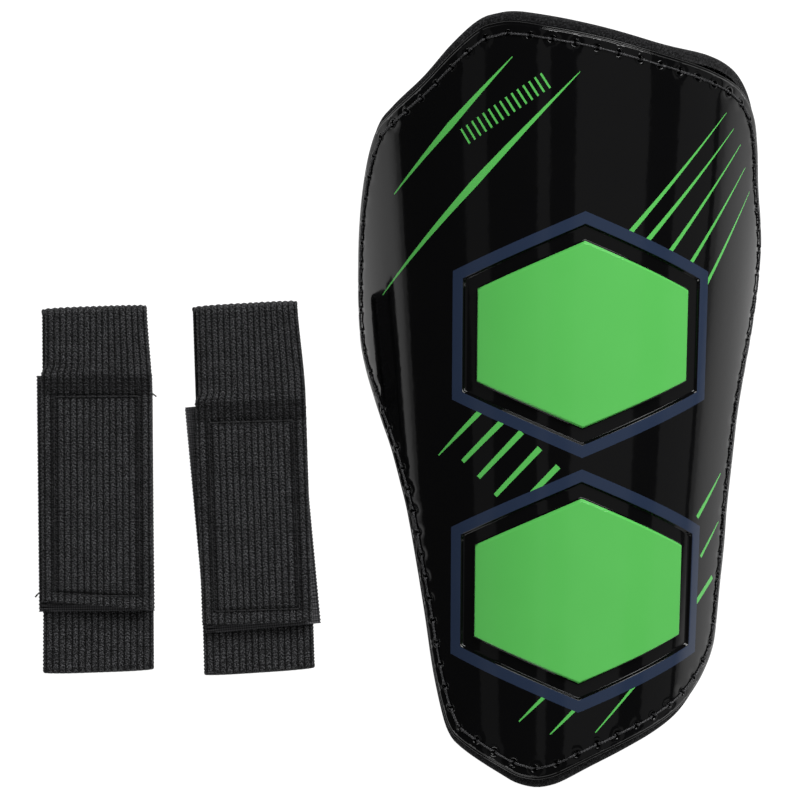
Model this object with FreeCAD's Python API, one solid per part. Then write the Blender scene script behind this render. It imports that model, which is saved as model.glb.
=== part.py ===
"""Football shin guard with two hook-and-loop elastic straps, laid out flat on a table.

All sizes are millimetres.  X runs across the guard, Y along the shin with the knee end at +Y,
and Z up from the table.  The guard is a stack of layers that share one curved surface:
moulded shell, foam, lining, and the lock stitching that holds them together.
"""
import FreeCAD, Part
import math
import os
from FreeCAD import Placement, Rotation, Vector

# Moves everything so the origin is on the table, under the middle of the whole set.
CENTRING = Vector(-0.42, -0.16, 0.0)

# ---- guard: the curved surface every layer follows ------------------------------------------

SHELL_THICKNESS = 1.9
FOAM_THICKNESS = 4.5
LINING_THICKNESS = 0.8
SHELL_BACK = SHELL_THICKNESS
FOAM_BACK = SHELL_BACK + FOAM_THICKNESS
LINING_BACK = FOAM_BACK + LINING_THICKNESS

HALF_GIRTH = 92.0        # how far the curved surface is drawn each side of the ridge
HALF_LENGTH = 116.0      # and each way along the shin
RIDGE_X = 42.3
RIDGE_TWIST = 0.01       # sideways drift of the ridge per millimetre of length
RIDGE_HEIGHT = 42.07
RIDGE_SLOPE = 0.118      # the knee end stands higher than the ankle end
RIDGE_BOW = 0.0003       # lengthwise bow of the shin
MID_RADIUS = 54.5
RADIUS_TAPER = 0.09      # the calf end is wider than the ankle end

# Rim of the moulded shell: (distance round from the ridge, distance along the shin).
SHELL_RIM = [
    (-5.6, -101.0), (-2.0, -100.6), (1.6, -99.4), (9.6, -95.6), (19.1, -91.4), (29.6, -86.8),
    (38.6, -82.0), (45.2, -77.0), (50.6, -71.7), (54.6, -66.3), (56.0, -61.0), (57.0, -50.0),
    (58.4, -39.0), (58.9, -28.0), (60.4, -17.5), (62.8, -2.0), (66.4, 9.0), (70.6, 20.0),
    (73.6, 31.0), (74.2, 41.5), (72.4, 48.0), (68.4, 58.0), (66.2, 68.5), (62.8, 77.2),
    (55.4, 84.0), (44.0, 88.2), (26.6, 92.4), (9.0, 96.7), (-6.8, 99.6), (-14.0, 100.6),
    (-18.6, 100.2), (-23.4, 98.7), (-31.2, 92.8), (-41.0, 84.5), (-52.4, 77.4), (-57.8, 73.8),
    (-61.8, 68.0), (-65.0, 61.0), (-67.8, 53.0), (-69.9, 44.5), (-71.2, 36.0), (-72.1, 28.0),
    (-72.1, 21.0), (-71.0, 14.6), (-67.8, 8.6), (-63.2, 2.0), (-58.6, -4.8), (-53.8, -12.2),
    (-49.4, -22.0), (-46.0, -31.5), (-40.6, -53.0), (-36.6, -71.0), (-33.0, -83.0),
    (-30.4, -88.2), (-27.0, -91.0), (-20.2, -95.0), (-14.0, -98.3), (-10.2, -100.1),
]

RIM_POINTS = 84          # stations round each outline when it is laid on the curved surface

FOAM_MARGIN = 2.4        # foam and lining stand out past the shell by this much
CORNER_MARGIN = 2.0      # extra foam left at the outer top corner
CORNER_AT = (50.0, 88.0)
CORNER_SPREAD = 11.0

# ---- guard: raised panels --------------------------------------------------------------------

PANEL_SIDES = (-30.0, 43.5)         # distance round from the ridge
PANEL_CENTRES = (18.0, -50.0)       # distance along the shin
PANEL_MIDDLE = 6.0
PANEL_TIP = 32.5                    # centre to pointed end
PANEL_SHOULDER = 17.0               # centre to the corners of the long sides
PANEL_BORDER = 3.0
MOAT_WIDTH = 4.2
MOAT_DEPTH = 0.8
PAD_RISE = 0.7

# ---- guard: perimeter stitching --------------------------------------------------------------

SEAM_INSET = 3.4
STITCH_COUNT = 88
HOLE_RADIUS = 0.75
THREAD_RADIUS = 0.32
THREAD_SIDES = 8         # thread is drawn with flat sides, which keeps hundreds of stitches light
LEG_OFFSET = 0.36        # each hole takes the end of two neighbouring stitches
NEEDLE_LEG = 3.0         # down through the shell and into the foam
BOBBIN_LEG = 2.0         # up through the lining and into the foam

# ---- straps ----------------------------------------------------------------------------------

BAND_WIDTH = 30.0
BAND_THICKNESS = 1.3
FLOOR_LEAF = 0.5 * BAND_THICKNESS            # heights of the middle of each leaf
INNER_LEAF = FLOOR_LEAF + BAND_THICKNESS + 0.25
LOOP_PATCH_THICKNESS = 1.3
HOOK_PATCH_THICKNESS = 1.2
LOOP_PATCH_BASE = INNER_LEAF + 0.5 * BAND_THICKNESS
HOOK_PATCH_BASE = LOOP_PATCH_BASE + LOOP_PATCH_THICKNESS
TAB_BASE = HOOK_PATCH_BASE + HOOK_PATCH_THICKNESS
TAB_TOP = TAB_BASE + BAND_THICKNESS
TOP_LEAF = TAB_BASE + 0.5 * BAND_THICKNESS
HINGE_GAP = 0.4
HOOK_PATCH_WIDTH = 27.0
LOOP_PATCH_WIDTH = 31.4                      # this tape is a little wider than the elastic
HOOK_SEAM_WIDTH = 23.0
LOOP_SEAM_WIDTH = 25.0
SEAM_MARGIN = 2.0                            # patch end to its row of stitching
BOX_STITCH_PITCH = 3.0
BOX_THREAD_RADIUS = 0.22

# Each strap: where its middle lies, its lean, and the stations along it from that middle.
# A loop patch is (start, end, sideways shift, turn), because it was sewn on a little askew.
# The elastic bulges at its lower fold and settles flat over the length called rise.
STRAPS = {
    "strap_1": {"at": (-82.3, -23.2), "lean": 0.3, "top": 50.0, "bottom": -50.0,
                "rise": 14.0, "hinge": 27.8, "tab_end": -32.6, "inner_end": 29.8,
                "hook": (27.0, -31.2), "loop": (30.8, -33.4, -0.5, 0.3)},
    "strap_2": {"at": (-39.9, -22.8), "lean": 1.9, "top": 50.5, "bottom": -50.5,
                "rise": 9.0, "hinge": 20.6, "tab_end": -37.0, "inner_end": 22.6,
                "hook": (19.8, -35.4), "loop": (23.2, -38.6, -0.4, 3.4)},
}


# ---- the curved surface ----------------------------------------------------------------------

def outer_point(around, along):
    """Point of the shell's outer surface, from its distance round and along the shin."""
    radius = MID_RADIUS + RADIUS_TAPER * along
    angle = around / radius
    ridge = RIDGE_HEIGHT + RIDGE_SLOPE * along - RIDGE_BOW * along * along
    return Vector(RIDGE_X + RIDGE_TWIST * along + radius * math.sin(angle),
                  along,
                  ridge - radius * (1.0 - math.cos(angle)))


def outward_normal(around, along):
    step = 0.05
    across = outer_point(around + step, along) - outer_point(around - step, along)
    lengthwise = outer_point(around, along + step) - outer_point(around, along - step)
    normal = across.cross(lengthwise)
    return normal.normalize()


def guard_point(around, along, depth):
    """Point that lies `depth` inside the outer surface."""
    return outer_point(around, along) - outward_normal(around, along) * depth


def layer_surface(depth):
    columns = [-HALF_GIRTH + HALF_GIRTH * i / 6.0 for i in range(13)]
    rows = [-HALF_LENGTH + HALF_LENGTH * i / 3.0 for i in range(7)]
    grid = [[guard_point(around, along, depth) for along in rows] for around in columns]
    surface = Part.BSplineSurface()
    surface.interpolate(grid)
    return surface.toShape()


def slab(outer_depth, inner_depth):
    """Oversize solid between two depths, before it is trimmed to an outline."""
    outer = layer_surface(outer_depth)
    inner = layer_surface(inner_depth)
    sides = [Part.makeRuledSurface(a, b) for a, b in zip(outer.Edges, inner.Edges)]
    shell = Part.makeShell([outer, inner] + sides)
    shell.sewShape()
    return Part.Solid(shell)


def smooth_outline(points, count):
    """Evenly spaced points on the closed spline through an outline."""
    curve = Part.BSplineCurve()
    curve.interpolate(Points=[Vector(x, y, 0) for x, y in points], PeriodicFlag=True)
    spaced = curve.toShape().discretize(Number=count + 1)[:-1]
    return [(p.x, p.y) for p in spaced]


def shifted_outline(outline, margin):
    """Outline moved outward by margin(point); a negative margin moves it inward."""
    shifted = []
    for index, (x, y) in enumerate(outline):
        before = outline[index - 1]
        after = outline[(index + 1) % len(outline)]
        along = Vector(after[0] - before[0], after[1] - before[1], 0).normalize()
        reach = margin((x, y))
        shifted.append((x + along.y * reach, y - along.x * reach))
    return shifted


def foam_margin(point):
    spread = math.dist(point, CORNER_AT) / CORNER_SPREAD
    return FOAM_MARGIN + CORNER_MARGIN * math.exp(-0.5 * spread * spread)


def smooth_wall(outline, outer_depth, inner_depth):
    """Closed wall through a smooth outline, square to the curved surface."""
    rails = []
    for depth in (outer_depth, inner_depth):
        rail = Part.BSplineCurve()
        rail.interpolate(Points=[guard_point(x, y, depth) for x, y in outline],
                         PeriodicFlag=True)
        rails.append(rail.toShape())
    return [Part.makeRuledSurface(rails[0], rails[1])]


def cornered_wall(corners, outer_depth, inner_depth):
    """Closed wall through straight-sided corners, one face for each side."""
    faces = []
    for start, end in zip(corners, corners[1:] + corners[:1]):
        rails = []
        for depth in (outer_depth, inner_depth):
            points = []
            for i in range(4):
                share = i / 3.0
                points.append(guard_point(start[0] + (end[0] - start[0]) * share,
                                          start[1] + (end[1] - start[1]) * share, depth))
            rail = Part.BSplineCurve()
            rail.interpolate(Points=points)
            rails.append(rail.toShape())
        faces.append(Part.makeRuledSurface(rails[0], rails[1]))
    return faces


def inside(block, wall, middle):
    """The piece of a block that lies within a closed wall and holds the point `middle`."""
    pieces = block.generalFuse(wall)[0].Solids
    for piece in pieces:
        if piece.isInside(middle, 1e-4, False):
            return piece
    raise ValueError("the wall doesn't close round the middle point")


def guard_layer(outline, outer_depth, inner_depth):
    wall = smooth_wall(outline, outer_depth - 2.0, inner_depth + 2.0)
    middle = guard_point(0.0, 0.0, 0.5 * (outer_depth + inner_depth))
    return inside(slab(outer_depth, inner_depth), wall, middle)


# ---- guard: panels and stitching -------------------------------------------------------------

def panel_corners(centre, inset):
    """Six corners of a panel with pointed ends, moved in from its outer border."""
    left, right = PANEL_SIDES
    left, right = left + inset, right - inset
    tip_inset = 1.1 * inset
    shoulder = PANEL_SHOULDER - 0.45 * inset
    tip = PANEL_TIP - tip_inset
    return [(PANEL_MIDDLE, centre + tip), (left, centre + shoulder), (left, centre - shoulder),
            (PANEL_MIDDLE, centre - tip), (right, centre - shoulder), (right, centre + shoulder)]


def panel_block(centre, inset, outer_depth, inner_depth):
    wall = cornered_wall(panel_corners(centre, inset), outer_depth - 2.0, inner_depth + 2.0)
    middle = guard_point(PANEL_MIDDLE, centre, 0.5 * (outer_depth + inner_depth))
    return inside(slab(outer_depth, inner_depth), wall, middle)


def add_panels(shell):
    """Each panel is a raised pad with a sunken moat round it."""
    for centre in PANEL_CENTRES:
        moat = panel_block(centre, PANEL_BORDER, -2.0, MOAT_DEPTH)
        pad = panel_block(centre, PANEL_BORDER + MOAT_WIDTH, -PAD_RISE, 0.5 * SHELL_THICKNESS)
        shell = shell.cut(moat).fuse(pad)
    return shell


def seam_points(rim):
    return smooth_outline(shifted_outline(rim, lambda point: -SEAM_INSET), STITCH_COUNT)


def stitch_hole(point):
    normal = outward_normal(*point)
    base = guard_point(point[0], point[1], SHELL_THICKNESS + 0.3)
    return Part.makeCylinder(HOLE_RADIUS, SHELL_THICKNESS + 1.0, base, normal)


def stitch(length, radius, leg, leg_offset):
    """One stitch along X: a thread on the surface with a leg down into the hole at each end."""
    reach = 0.5 * length - leg_offset
    level = 0.8 * radius
    path = Part.makePolygon([Vector(-reach, 0, -leg), Vector(-reach, 0, level),
                             Vector(reach, 0, level), Vector(reach, 0, -leg)])
    corners = []
    for i in range(THREAD_SIDES + 1):
        angle = 2.0 * math.pi * (i + 0.5) / THREAD_SIDES
        corners.append(Vector(-reach + radius * math.cos(angle), radius * math.sin(angle), -leg))
    section = Part.makePolygon(corners)
    right_corner = 1
    return path.makePipeShell([section], True, False, right_corner)


def placed_stitch(pattern, start, end, outward):
    """A copy of the stitch that spans two holes, with its arch facing outward."""
    along = (end - start).normalize()
    middle = (start + end) * 0.5
    turn = Rotation(along, outward.cross(along), outward, "XZY")
    copy = pattern.copy()
    copy.Placement = Placement(middle, turn)
    return copy


def seam_thread(seam, depth, leg, side):
    """The row of stitches on one side of the guard: side is 1 for the front, -1 for the back."""
    holes = [guard_point(x, y, depth) for x, y in seam]
    pitch = sum(a.distanceToPoint(b) for a, b in zip(holes, holes[1:] + holes[:1])) / len(holes)
    pattern = stitch(pitch, THREAD_RADIUS, leg, LEG_OFFSET)
    stitches = []
    for index, start in enumerate(holes):
        following = (index + 1) % len(holes)
        normal = outward_normal(*seam[index]) + outward_normal(*seam[following])
        outward = normal.normalize() * side
        stitches.append(placed_stitch(pattern, start, holes[following], outward))
    return Part.makeCompound(stitches)


def guard_nodes():
    rim = smooth_outline(SHELL_RIM, RIM_POINTS)
    padding = smooth_outline(shifted_outline(rim, foam_margin), RIM_POINTS)
    seam = seam_points(rim)
    shell = add_panels(guard_layer(rim, 0.0, SHELL_BACK))
    shell = shell.cut(Part.makeCompound([stitch_hole(point) for point in seam]))
    return {
        "shell": shell,
        "foam_pad": guard_layer(padding, SHELL_BACK, FOAM_BACK),
        "lining": guard_layer(padding, FOAM_BACK, LINING_BACK),
        "needle_thread": seam_thread(seam, 0.0, NEEDLE_LEG, 1.0),
        "bobbin_thread": seam_thread(seam, LINING_BACK, BOBBIN_LEG, -1.0),
    }


# ---- straps ----------------------------------------------------------------------------------

def rounded_path(corners, offset):
    """Wire in the YZ plane through (y, z, radius) corners, shifted sideways by `offset`."""
    points = [Vector(0, y, z) for y, z, _ in corners]
    headings = [(b - a).normalize() for a, b in zip(points, points[1:])]
    sides = [Vector(0, -heading.z, heading.y) for heading in headings]
    edges = []
    cursor = points[0] + sides[0] * offset
    for index in range(1, len(points) - 1):
        before, after = headings[index - 1], headings[index]
        turn = before.y * after.z - before.z * after.y
        bend = math.acos(max(-1.0, min(1.0, before.dot(after))))
        radius = corners[index][2]
        setback = radius * math.tan(0.5 * bend)
        start = points[index] - before * setback + sides[index - 1] * offset
        end = points[index] + after * setback + sides[index] * offset
        inward = sides[index - 1] * math.copysign(radius, turn)
        centre = points[index] - before * setback + inward
        outward = (points[index] - centre).normalize()
        middle = centre + outward * (radius - math.copysign(1.0, turn) * offset)
        edges.append(Part.makeLine(cursor, start))
        edges.append(Part.Arc(start, middle, end).toShape())
        cursor = end
    edges.append(Part.makeLine(cursor, points[-1] + sides[-1] * offset))
    return edges


def band_solid(strap):
    """Elastic from the hinge line over the top fold, along the table and back over itself."""
    half = 0.5 * BAND_THICKNESS
    top = strap["top"] - half
    bottom = strap["bottom"] + half
    corners = [
        (strap["hinge"] + 0.5 * HINGE_GAP, TOP_LEAF, 0.0),
        (strap["hinge"] + 4.0, TOP_LEAF, 8.0),
        (top - 1.0, 4.9, 1.6),
        (top, FLOOR_LEAF, 1.9),
        (bottom, FLOOR_LEAF, 1.5),
        (bottom, 4.0, 1.5),
        (bottom + strap["rise"], INNER_LEAF, 8.0),
        (strap["inner_end"], INNER_LEAF, 0.0),
    ]
    left = rounded_path(corners, half)
    right = rounded_path(corners, -half)
    ends = [Part.makeLine(left[0].Vertexes[0].Point, right[0].Vertexes[0].Point),
            Part.makeLine(left[-1].Vertexes[-1].Point, right[-1].Vertexes[-1].Point)]
    outline = Part.Wire(Part.__sortEdges__(left + right + ends))
    profile = Part.Face(outline)
    profile.translate(Vector(-0.5 * BAND_WIDTH, 0, 0))
    return profile.extrude(Vector(BAND_WIDTH, 0, 0))


def flat_piece(width, start, end, base, thickness):
    piece = Part.makeBox(width, start - end, thickness, Vector(-0.5 * width, end, base))
    upright = [edge for edge in piece.Edges
               if abs(edge.Vertexes[0].Z - edge.Vertexes[-1].Z) > 0.5 * thickness]
    return piece.makeFillet(1.0, upright)


def box_stitching(width, start, end, level, leg, side):
    """Rectangle of stitches, standing on `level` and facing up or down."""
    half = 0.5 * width
    corners = [Vector(-half, start, level), Vector(half, start, level),
               Vector(half, end, level), Vector(-half, end, level)]
    outward = Vector(0, 0, side)
    stitches = []
    for first, second in zip(corners, corners[1:] + corners[:1]):
        run = second - first
        count = round(run.Length / BOX_STITCH_PITCH)
        pattern = stitch(run.Length / count, BOX_THREAD_RADIUS, leg, 0.3)
        for i in range(count):
            stitches.append(placed_stitch(pattern, first + run * (i / count),
                                          first + run * ((i + 1) / count), outward))
    return Part.makeCompound(stitches)


def moved(shape, shift, turn):
    """The shape turned about Z in degrees, then shifted."""
    place = Placement(Vector(shift[0], shift[1], 0), Rotation(Vector(0, 0, 1), turn))
    copy = shape.copy()
    copy.Placement = place.multiply(copy.Placement)
    return copy


def strap_nodes(name, strap):
    leg = BAND_THICKNESS + 0.4
    hook_start, hook_end = strap["hook"]
    loop_start, loop_end, loop_shift, loop_turn = strap["loop"]
    loop_middle = 0.5 * (loop_start + loop_end)
    half_loop = 0.5 * (loop_start - loop_end)
    loop_patch = flat_piece(LOOP_PATCH_WIDTH, half_loop, -half_loop, LOOP_PATCH_BASE,
                            LOOP_PATCH_THICKNESS)
    loop_stitching = box_stitching(LOOP_SEAM_WIDTH, half_loop - SEAM_MARGIN,
                                   SEAM_MARGIN - half_loop,
                                   INNER_LEAF - 0.5 * BAND_THICKNESS, leg, -1.0)
    nodes = {
        "band": band_solid(strap),
        "tab": flat_piece(BAND_WIDTH, strap["hinge"] - 0.5 * HINGE_GAP, strap["tab_end"],
                          TAB_BASE, BAND_THICKNESS),
        "hook_patch": flat_piece(HOOK_PATCH_WIDTH, hook_start, hook_end, HOOK_PATCH_BASE,
                                 HOOK_PATCH_THICKNESS),
        "loop_patch": moved(loop_patch, (loop_shift, loop_middle), loop_turn),
        "hook_stitching": box_stitching(HOOK_SEAM_WIDTH, hook_start - SEAM_MARGIN,
                                        hook_end + SEAM_MARGIN, TAB_TOP, leg, 1.0),
        "loop_stitching": moved(loop_stitching, (loop_shift, loop_middle), loop_turn),
    }
    return {name + "_" + piece: moved(shape, strap["at"], strap["lean"])
            for piece, shape in nodes.items()}


def main():
    os.makedirs("parts", exist_ok=True)
    nodes = guard_nodes()
    for name, strap in STRAPS.items():
        nodes.update(strap_nodes(name, strap))
    for name, shape in nodes.items():
        shape.translate(CENTRING)
        shape.exportStep("parts/" + name + ".step")
        print("%-24s solids %3d valid %s volume %9.2f" % (
            name, len(shape.Solids), shape.isValid(), shape.Volume))


main()
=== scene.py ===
"""Looks for a football shin guard and its two hook-and-loop elastic straps, seen from straight above.

Lengths in this script are millimetres until a mesh is made.  The guard is drawn on one curved
surface with coordinates (around, along): the distance round from the ridge, and along the shin.
"""
import bmesh
import bpy
import math
import numpy as np
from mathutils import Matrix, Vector
from mathutils.geometry import delaunay_2d_cdt


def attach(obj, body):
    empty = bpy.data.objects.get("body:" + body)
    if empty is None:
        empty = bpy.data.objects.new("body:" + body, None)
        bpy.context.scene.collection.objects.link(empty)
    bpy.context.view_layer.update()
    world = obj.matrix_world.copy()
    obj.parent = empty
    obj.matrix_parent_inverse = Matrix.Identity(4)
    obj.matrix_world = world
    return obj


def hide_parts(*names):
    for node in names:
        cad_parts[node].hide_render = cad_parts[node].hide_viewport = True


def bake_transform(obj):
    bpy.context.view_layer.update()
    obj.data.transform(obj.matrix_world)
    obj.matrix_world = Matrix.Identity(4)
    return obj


MM = 0.001
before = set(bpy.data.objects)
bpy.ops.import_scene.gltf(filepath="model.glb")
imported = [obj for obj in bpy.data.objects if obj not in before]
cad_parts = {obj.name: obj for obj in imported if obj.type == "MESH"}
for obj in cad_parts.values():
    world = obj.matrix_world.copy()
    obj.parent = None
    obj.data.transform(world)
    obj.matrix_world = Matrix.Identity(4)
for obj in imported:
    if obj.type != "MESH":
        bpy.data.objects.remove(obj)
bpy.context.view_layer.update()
rng = np.random.default_rng(7)

# ---- the guard's curved surface, as in the CAD -----------------------------------------------

CENTRING = (-0.42, -0.16)
RIDGE_X, RIDGE_TWIST = 42.3, 0.01
RIDGE_HEIGHT, RIDGE_SLOPE, RIDGE_BOW = 42.07, 0.118, 0.0003
MID_RADIUS, RADIUS_TAPER = 54.5, 0.09
SHELL_BACK, LINING_BACK = 1.9, 7.2

SHELL_RIM = [
    (-5.6, -101.0), (-2.0, -100.6), (1.6, -99.4), (9.6, -95.6), (19.1, -91.4), (29.6, -86.8),
    (38.6, -82.0), (45.2, -77.0), (50.6, -71.7), (54.6, -66.3), (56.0, -61.0), (57.0, -50.0),
    (58.4, -39.0), (58.9, -28.0), (60.4, -17.5), (62.8, -2.0), (66.4, 9.0), (70.6, 20.0),
    (73.6, 31.0), (74.2, 41.5), (72.4, 48.0), (68.4, 58.0), (66.2, 68.5), (62.8, 77.2),
    (55.4, 84.0), (44.0, 88.2), (26.6, 92.4), (9.0, 96.7), (-6.8, 99.6), (-14.0, 100.6),
    (-18.6, 100.2), (-23.4, 98.7), (-31.2, 92.8), (-41.0, 84.5), (-52.4, 77.4), (-57.8, 73.8),
    (-61.8, 68.0), (-65.0, 61.0), (-67.8, 53.0), (-69.9, 44.5), (-71.2, 36.0), (-72.1, 28.0),
    (-72.1, 21.0), (-71.0, 14.6), (-67.8, 8.6), (-63.2, 2.0), (-58.6, -4.8), (-53.8, -12.2),
    (-49.4, -22.0), (-46.0, -31.5), (-40.6, -53.0), (-36.6, -71.0), (-33.0, -83.0),
    (-30.4, -88.2), (-27.0, -91.0), (-20.2, -95.0), (-14.0, -98.3), (-10.2, -100.1),
]
RIM_STEPS = 420
FOAM_MARGIN, CORNER_MARGIN, CORNER_SPREAD = 2.4, 2.0, 11.0
CORNER_AT = (50.0, 88.0)

PANEL_SIDES = (-30.0, 43.5)
PANEL_CENTRES = (18.0, -50.0)
PANEL_MIDDLE = 6.0
PANEL_TIP, PANEL_SHOULDER = 32.5, 17.0
PANEL_BORDER, MOAT_WIDTH, MOAT_DEPTH, PAD_RISE = 3.0, 4.2, 0.8, 0.7
MOAT_WALL, PAD_WALL, PAD_FOOT = 0.62, 1.02, 0.4
# Loops of mesh points inside a panel's border, closest together where the moat's walls bend.
PANEL_RINGS = (-0.5, 0.0, 0.08, 0.16, 0.25, 0.34, 0.43, 0.52, 0.62, 1.1, 2.2, 3.4, 3.8, 3.94, 4.04,
               4.14, 4.2, 4.3, 4.4, 4.52, 4.66, 4.82, 5.2, 6.0)

# The shell's edge, from the rim inwards: a steep trimmed wall, a ledge and a small step up.
RIM_INSETS = (0.0, 0.12, 0.24, 0.34, 0.42, 0.52, 0.66, 0.84, 0.98, 1.1, 1.22, 1.34)
RIM_LEVELS = (-1.35, -1.2, -0.72, -0.46, -0.34, -0.3, -0.31, -0.32, -0.27, -0.12, -0.02, 0.0)

SEAM_INSET, STITCH_COUNT = 3.4, 88
HOLE_RADIUS, HOLE_DEPTH = 0.88, 1.7
LIP_HEIGHT, LIP_OUT, LIP_WIDTH = 0.11, 0.26, 0.18
DIMPLE_DEPTH, DIMPLE_WIDTH = 0.2, 1.7
# Rings of mesh points round each stitch hole: radius, number of points.
HOLE_RINGS = ((0.4, 8), (0.58, 14), (0.68, 16), (0.78, 18), (0.88, 18), (1.0, 18), (1.15, 18),
              (1.4, 16), (1.8, 16))

# The rest of the shell's mesh: (spacing, distance from the rim) in front and behind, the last
# ring inside the rim, the step along panel lines, and the room left round holes and panels.
FRONT_FIELD, BACK_FIELD = (1.5, 2.8), (6.0, 3.0)
LAST_RING, BORDER_STEP, RING_STEP = 2.0, 1.5, 1.3
RING_TO_HOLE, FIELD_TO_HOLE, FIELD_TO_PANEL = 1.9, 2.3, (-0.9, 6.6)
NET_TURN = 0.37

BLACK, GREEN, NAVY = range(3)
# How far forming pulls a line that was printed on the flat sheet towards straight, from 0 to 1.
FORMING = 0.5
# A row of printed dashes: start and end (around, along), how many, their length and width.
DASHES = ((-26.6, 70.4), (-5.0, 84.6), 15, 4.6, 0.55)
# Printed stripes: start and end (around, along), then the width at the start, middle and end.
STRIPES = [
    ((-13.8, 91.0), (-50.2, 55.7), 0.2, 1.9, 0.3),
    ((4.1, 87.0), (-55.6, 29.1), 0.2, 2.1, 0.3),
    ((48.8, 77.3), (-9.0, 14.0), 0.2, 1.3, 1.9),
    ((52.1, 73.2), (-2.0, 14.0), 0.2, 1.3, 1.9),
    ((55.6, 69.2), (8.0, 12.0), 0.2, 1.2, 1.8),
    ((58.3, 63.1), (20.0, 14.0), 0.2, 1.1, 1.6),
    ((61.3, 56.8), (30.0, 12.0), 0.2, 1.0, 1.4),
    ((-34.2, -13.9), (-18.5, 0.8), 0.3, 1.3, 1.6),
    ((-26.6, -15.5), (-14.3, -3.7), 1.2, 1.4, 1.6),
    ((-21.9, -19.7), (-10.1, -7.6), 1.2, 1.4, 1.6),
    ((-17.1, -24.5), (-5.2, -11.9), 1.2, 1.4, 1.6),
    ((-12.4, -29.2), (-0.3, -16.7), 1.2, 1.4, 1.6),
    ((52.5, -18.9), (42.3, -30.6), 0.3, 0.9, 1.2),
    ((52.6, -31.9), (44.4, -41.3), 0.3, 0.7, 0.9),
    ((50.6, -46.9), (10.8, -87.9), 1.3, 1.1, 0.3),
    ((-9.8, -84.9), (-0.1, -75.1), 0.3, 0.9, 1.3),
    ((-1.4, -88.3), (6.9, -79.8), 0.3, 0.8, 1.1),
]


# ---- small tools -----------------------------------------------------------------------------

def guard_outer(around, along):
    radius = MID_RADIUS + RADIUS_TAPER * along
    angle = around / radius
    ridge = RIDGE_HEIGHT + RIDGE_SLOPE * along - RIDGE_BOW * along ** 2
    return np.stack([RIDGE_X + RIDGE_TWIST * along + radius * np.sin(angle) + CENTRING[0],
                     along + CENTRING[1],
                     ridge - radius * (1.0 - np.cos(angle))], axis=-1)


def unit(vectors):
    return vectors / np.linalg.norm(vectors, axis=-1, keepdims=True)


def guard_ways(around, along, step):
    """The ways round and along the outer surface, as differences over a small step."""
    return (guard_outer(around + step, along) - guard_outer(around - step, along),
            guard_outer(around, along + step) - guard_outer(around, along - step))


def guard_normal(around, along):
    return unit(np.cross(*guard_ways(around, along, 0.05)))


def on_guard(flat, height):
    """Points above (positive) or below the shell's outer surface, in millimetres."""
    flat = np.asarray(flat, float)
    height = np.broadcast_to(height, flat.shape[:1])[:, None]
    return guard_outer(flat[:, 0], flat[:, 1]) + guard_normal(flat[:, 0], flat[:, 1]) * height


def closed_spline(points, count):
    """Evenly spaced points on the closed Catmull-Rom curve through some points."""
    p = np.asarray(points, float)
    before, after, beyond = np.roll(p, 1, 0), np.roll(p, -1, 0), np.roll(p, -2, 0)
    fine = []
    for share in np.linspace(0.0, 1.0, 24, endpoint=False):
        fine.append(0.5 * (2 * p + (after - before) * share
                           + (2 * before - 5 * p + 4 * after - beyond) * share ** 2
                           + (3 * p - before - 3 * after + beyond) * share ** 3))
    fine = np.stack(fine, axis=1).reshape(-1, 2)
    return evenly(fine, count, closed=True)


def evenly(points, count, closed=False):
    """Points spaced evenly along a line of straight runs."""
    if closed:
        points = np.vstack([points, points[:1]])
    lengths = np.linalg.norm(np.diff(points, axis=0), axis=1)
    travelled = np.concatenate([[0.0], np.cumsum(lengths)])
    targets = np.linspace(0.0, travelled[-1], count + 1)[:-1] if closed else \
        np.linspace(0.0, travelled[-1], count)
    return np.stack([np.interp(targets, travelled, points[:, i])
                     for i in range(points.shape[1])], axis=1)


def outward_of(loop):
    """Unit normals that point out of an anticlockwise loop."""
    along = np.roll(loop, -1, 0) - np.roll(loop, 1, 0)
    return unit(np.stack([along[:, 1], -along[:, 0]], axis=1))


def run_and_left(start, end):
    """The unit vector from start to end, and the one a quarter turn to its left."""
    run = (end - start) / np.linalg.norm(end - start)
    return run, np.array([-run[1], run[0]])


def turned(x, y, angle):
    """Coordinates after an anticlockwise turn about the origin."""
    return (x * math.cos(angle) - y * math.sin(angle),
            x * math.sin(angle) + y * math.cos(angle))


def inside(points, loop):
    """Which points lie inside a closed loop."""
    x, y = points[:, 0][:, None], points[:, 1][:, None]
    x0, y0 = loop[:, 0][None], loop[:, 1][None]
    x1, y1 = np.roll(loop[:, 0], -1)[None], np.roll(loop[:, 1], -1)[None]
    spans = (y0 > y) != (y1 > y)
    run = np.where(np.abs(y1 - y0) < 1e-12, 1e-12, y1 - y0)
    crosses = x < (x1 - x0) * (y - y0) / run + x0
    return (np.sum(spans & crosses, axis=1) % 2).astype(bool)


def distance_to(points, loop, closed=True):
    """Distance from each point to a line of straight runs."""
    start = loop if closed else loop[:-1]
    end = np.roll(loop, -1, 0) if closed else loop[1:]
    nearest = np.full(len(points), np.inf)
    run = end - start
    length = np.maximum((run ** 2).sum(1), 1e-12)
    for lot in np.array_split(np.arange(len(points)), max(1, len(points) // 2000)):
        offset = points[lot][:, None, :] - start[None]
        share = np.clip((offset * run[None]).sum(2) / length[None], 0.0, 1.0)
        gap = offset - share[..., None] * run[None]
        nearest[lot] = np.sqrt((gap ** 2).sum(2).min(1))
    return nearest


def smoothstep(low, high, value):
    share = np.clip((value - low) / (high - low), 0.0, 1.0)
    return share * share * (3.0 - 2.0 * share)


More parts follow.
